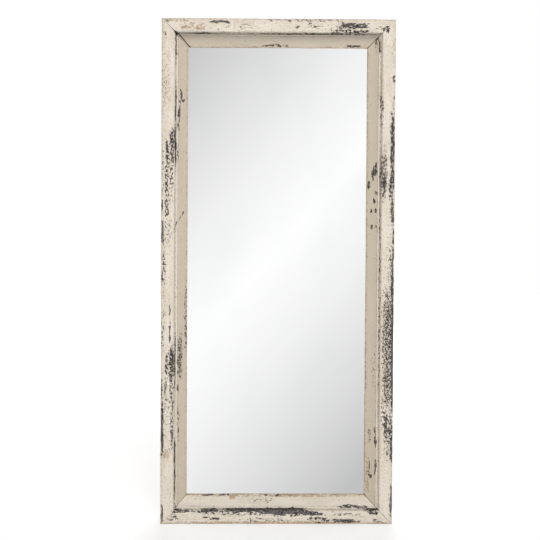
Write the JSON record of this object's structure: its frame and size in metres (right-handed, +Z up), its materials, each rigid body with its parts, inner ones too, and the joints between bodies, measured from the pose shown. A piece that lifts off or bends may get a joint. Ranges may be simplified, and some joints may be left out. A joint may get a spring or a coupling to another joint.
{
  "type": "full-length mirror",
  "caption": "Tall rectangular wall mirror in a distressed cream-painted moulded wooden frame with mitred corners, hung by swinging rings on its back.",
  "frame": {"origin": "middle of the underside of the bottom rail, at half the depth of the frame", "axes": "+X to the right as seen from the front, +Y from the room towards the wall, +Z up"},
  "size_m": [0.6, 0.054, 1.3],
  "materials": {
    "painted_wood": "worn cream paint",
    "mirror": "silvered glass",
    "hardboard": "plain brown board",
    "zinc_steel": "zinc plated",
    "rubber": "matt"
  },
  "bodies": {
    "frame": {"top_rail": "painted_wood", "bottom_rail": "painted_wood", "left_stile": "painted_wood", "right_stile": "painted_wood", "mirror_glass": "mirror", "backing_board": "hardboard", "framing_points": "zinc_steel", "mitre_v_nails": "zinc_steel", "hanger_strap_left": "zinc_steel", "hanger_strap_right": "zinc_steel", "hanger_screws": "zinc_steel", "wall_bumpers": "rubber"},
    "ring_left": {"hanger_ring_left": "zinc_steel"},
    "ring_right": {"hanger_ring_right": "zinc_steel"}
  },
  "joints": [
    {"name": "ring_left_swing", "type": "hinge", "parent": "frame", "child": "ring_left", "pos_m": [-0.2765, 0.0269, 1.05], "axis": [1, 0, 0], "range_deg": [0, 175]},
    {"name": "ring_right_swing", "type": "hinge", "parent": "frame", "child": "ring_right", "pos_m": [0.2765, 0.0269, 1.05], "axis": [1, 0, 0], "range_deg": [0, 175]}
  ]
}
